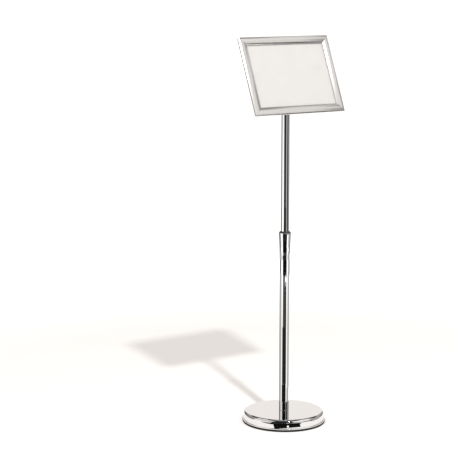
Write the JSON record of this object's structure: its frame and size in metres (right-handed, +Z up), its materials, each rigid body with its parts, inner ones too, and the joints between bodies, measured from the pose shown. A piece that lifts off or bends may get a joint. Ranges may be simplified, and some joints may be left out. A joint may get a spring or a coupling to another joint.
{
  "type": "sign stand",
  "caption": "Free-standing telescopic sign stand with a weighted round base, a clamping collar and a tilting landscape snap frame for a sheet.",
  "frame": {"origin": "on the floor, at the centre of the round base under the post", "axes": "+Z up along the post, the sign faces -Y and leans back, +X is to the right of someone behind the sign looking along +Y"},
  "size_m": [0.327, 0.251, 1.1686],
  "materials": {
    "chrome": "bright chrome plate",
    "cast_iron": "raw casting, black",
    "rubber": "black moulded rubber",
    "zinc_plate": "zinc-plated steel",
    "spring_steel": "bright spring steel",
    "black_plastic": "fine-textured moulding",
    "nylon": "natural white nylon",
    "panel_plastic": "grey polystyrene sheet",
    "aluminium": "satin silver anodised extrusion",
    "paper": "blank off-white sheet",
    "clear_sheet": "clear anti-glare plastic sheet"
  },
  "bodies": {
    "base": {"base_cover": "chrome", "base_weight": "cast_iron", "base_ring": "rubber", "base_bolt": "zinc_plate", "base_washer": "zinc_plate", "foot_plug": "black_plastic", "lower_tube": "chrome", "collar_seat": "nylon", "split_collet": "nylon"},
    "collar": {"clutch_collar": "chrome", "collar_ring": "black_plastic"},
    "guide": {"guide_bush": "nylon"},
    "post": {"upper_tube": "chrome", "head_plug": "black_plastic"},
    "fork": {"tilt_fork": "zinc_plate", "hinge_bolt": "zinc_plate", "hinge_washer_left": "zinc_plate", "hinge_washer_right": "zinc_plate", "knob_washer": "zinc_plate", "turn_pivot": "zinc_plate", "turn_washer": "zinc_plate"},
    "knob": {"tilt_knob": "black_plastic"},
    "frame": {"mount_disc": "zinc_plate", "disc_screw_1": "zinc_plate", "disc_screw_2": "zinc_plate", "disc_screw_3": "zinc_plate", "disc_screw_4": "zinc_plate", "back_panel": "panel_plastic", "sign_sheet": "paper", "clear_cover": "clear_sheet", "base_rail_bottom": "aluminium", "base_rail_right": "aluminium", "base_rail_top": "aluminium", "base_rail_left": "aluminium", "spring_bottom_1": "spring_steel", "spring_bottom_2": "spring_steel", "spring_right_1": "spring_steel", "spring_right_2": "spring_steel", "spring_top_1": "spring_steel", "spring_top_2": "spring_steel", "spring_left_1": "spring_steel", "spring_left_2": "spring_steel", "corner_key_1": "black_plastic", "corner_key_2": "black_plastic", "corner_key_3": "black_plastic", "corner_key_4": "black_plastic"},
    "snap_bottom": {"snap_rail_bottom": "aluminium"},
    "snap_right": {"snap_rail_right": "aluminium"},
    "snap_top": {"snap_rail_top": "aluminium"},
    "snap_left": {"snap_rail_left": "aluminium"}
  },
  "joints": [
    {"name": "collar_turn", "type": "hinge", "parent": "base", "child": "collar", "pos_m": [0, 0, 0.54], "axis": [0, 0, 1], "range_deg": [0, 180]},
    {"name": "post_height", "type": "slide", "parent": "base", "child": "guide", "axis": [0, 0, 1], "range_m": [-0.36, 0.06]},
    {"name": "post_swivel", "type": "hinge", "parent": "guide", "child": "post", "pos_m": [0, 0, 0.45], "axis": [0, 0, 1], "continuous": true},
    {"name": "frame_tilt", "type": "hinge", "parent": "post", "child": "fork", "pos_m": [0, 0, 1.045], "axis": [-1, 0, 0], "range_deg": [-22.4, 67.6]},
    {"name": "knob_turn", "type": "hinge", "parent": "fork", "child": "knob", "pos_m": [0.022, 0, 1.045], "axis": [1, 0, 0], "range_deg": [0, 180]},
    {"name": "frame_turn", "type": "hinge", "parent": "fork", "child": "frame", "pos_m": [0, -0.02441, 1.05506], "axis": [0, -0.9245, 0.3811], "range_deg": [0, 90]},
    {"name": "snap_bottom_open", "type": "hinge", "parent": "frame", "child": "snap_bottom", "pos_m": [0, -0.07317, 0.94883], "axis": [1, 0, 0], "range_deg": [0, 95]},
    {"name": "snap_right_open", "type": "hinge", "parent": "frame", "child": "snap_right", "pos_m": [0.1603, -0.02866, 1.05681], "axis": [0, 0.3811, 0.9245], "range_deg": [0, 95]},
    {"name": "snap_top_open", "type": "hinge", "parent": "frame", "child": "snap_top", "pos_m": [0, 0.01585, 1.1648], "axis": [-1, 0, 0], "range_deg": [0, 95]},
    {"name": "snap_left_open", "type": "hinge", "parent": "frame", "child": "snap_left", "pos_m": [-0.1603, -0.02866, 1.05681], "axis": [0, -0.3811, -0.9245], "range_deg": [0, 95]}
  ]
}
